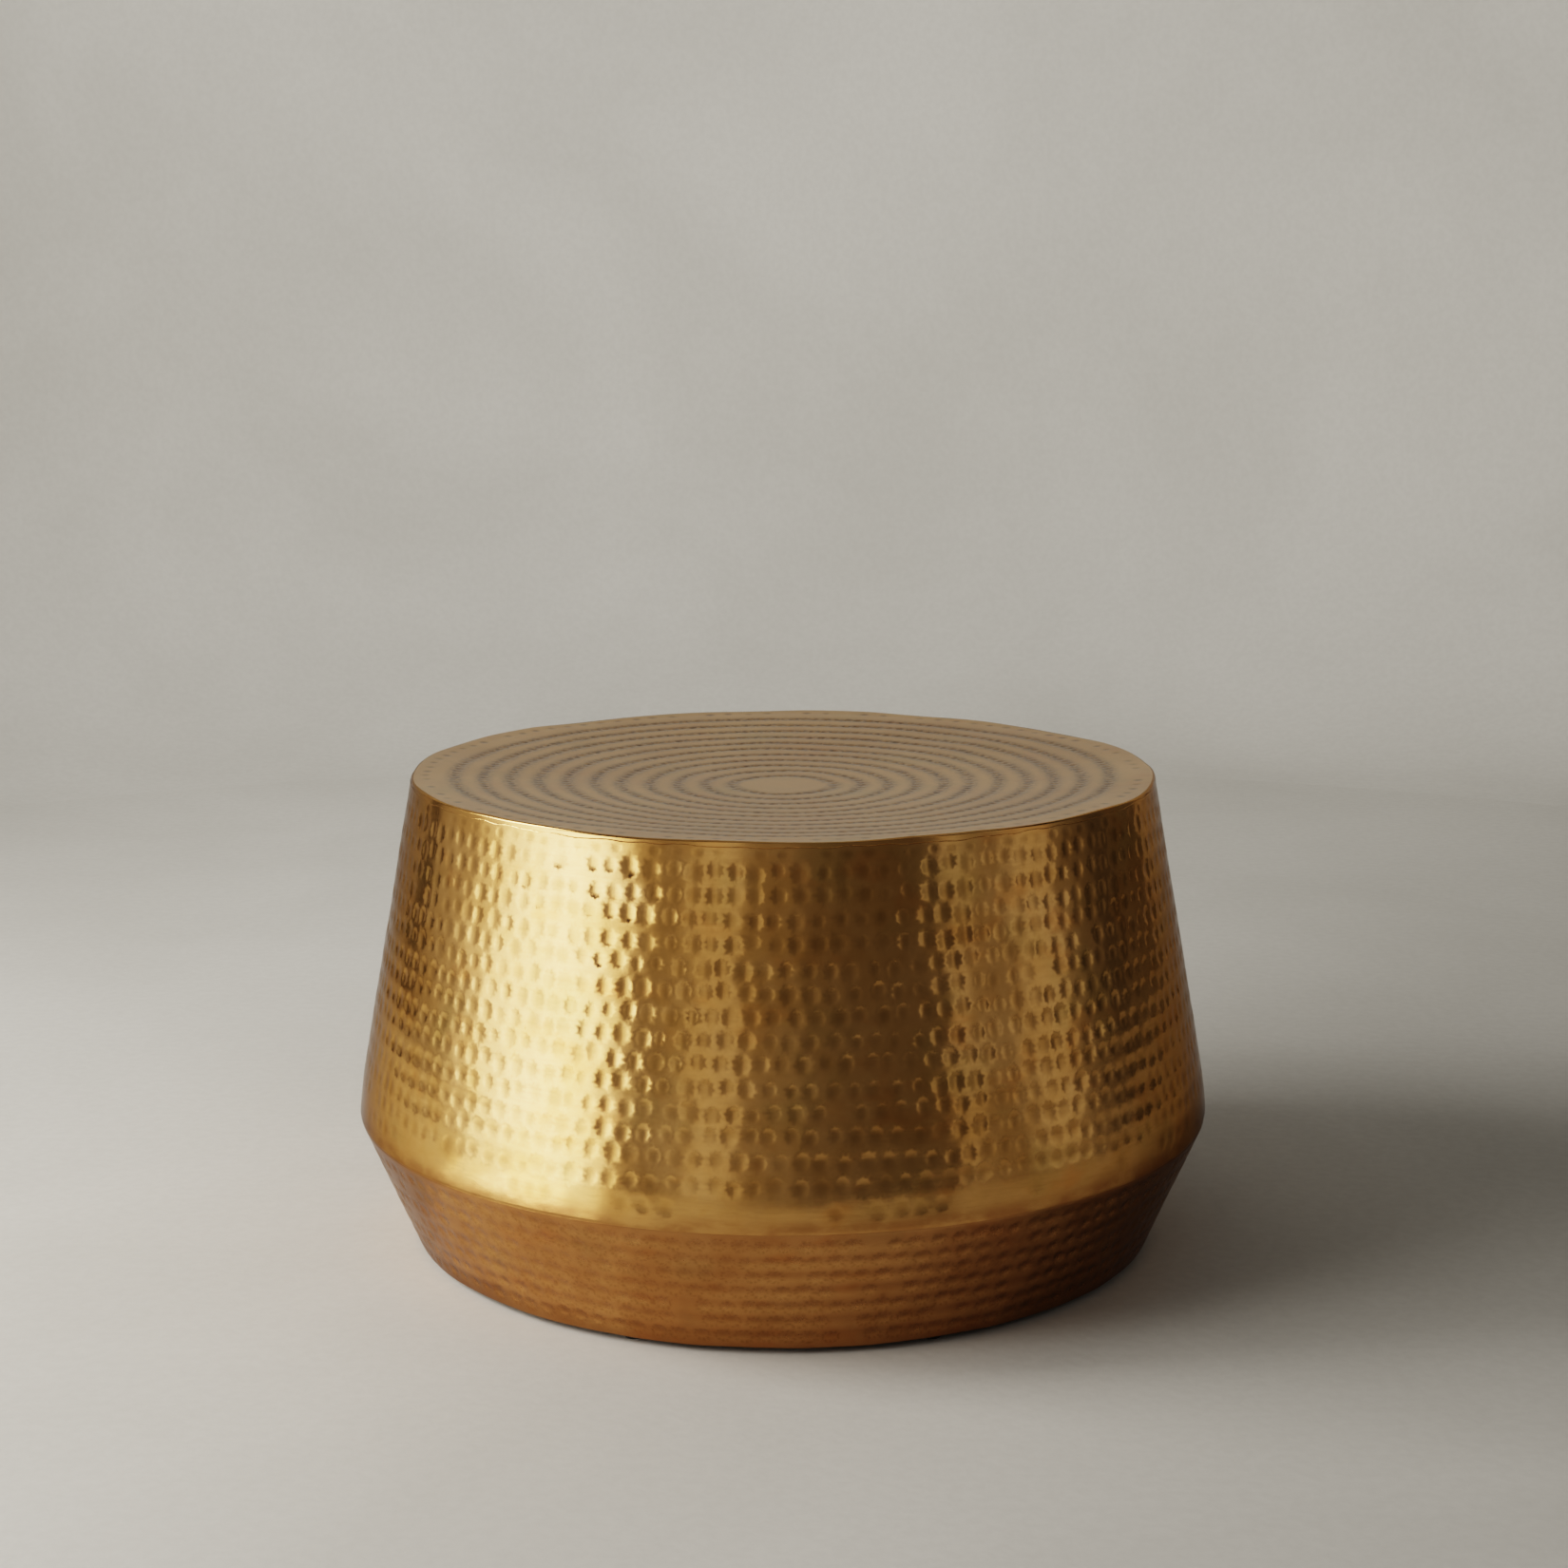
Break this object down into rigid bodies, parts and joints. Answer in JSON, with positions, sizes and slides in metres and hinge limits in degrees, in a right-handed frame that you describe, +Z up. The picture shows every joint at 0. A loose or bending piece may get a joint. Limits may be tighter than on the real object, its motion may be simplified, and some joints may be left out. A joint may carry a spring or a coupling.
{
  "type": "round coffee table",
  "caption": "Low round drum coffee table: hammered brass-coloured sheet walls that flare to a low belly, a dished, ringed top plate, and a hidden steel frame on glides.",
  "frame": {"origin": "on the floor, on the drum's vertical axis, level with the undersides of the glides", "axes": "+Z up along the drum's axis, -Y towards the picture's camera, +X to the picture's right"},
  "size_m": [0.7414, 0.7412, 0.408],
  "materials": {
    "brass_top": "satin",
    "brass_wall": "gloss",
    "steel": "satin",
    "board": "matte",
    "zinc": "satin",
    "glide": "satin"
  },
  "bodies": {
    "root": {"top_plate": "brass_top", "top_board": "board", "upper_shell": "brass_wall", "lower_shell": "brass_wall", "belly_band": "steel", "rim_ring_front": "steel", "rim_ring_right": "steel", "rim_ring_back": "steel", "rim_ring_left": "steel", "base_ring_front": "steel", "base_ring_right": "steel", "base_ring_back": "steel", "base_ring_left": "steel", "upright_back_right": "steel", "upright_back_left": "steel", "upright_front_left": "steel", "upright_front_right": "steel", "cross_bar_side_to_side": "steel", "cross_bar_front_to_back": "steel", "board_screws": "zinc", "glide_screws": "zinc", "glide_right_back": "glide", "glide_back_right": "glide", "glide_back_left": "glide", "glide_left_back": "glide", "glide_left_front": "glide", "glide_front_left": "glide", "glide_front_right": "glide", "glide_right_front": "glide"}
  },
  "joints": []
}
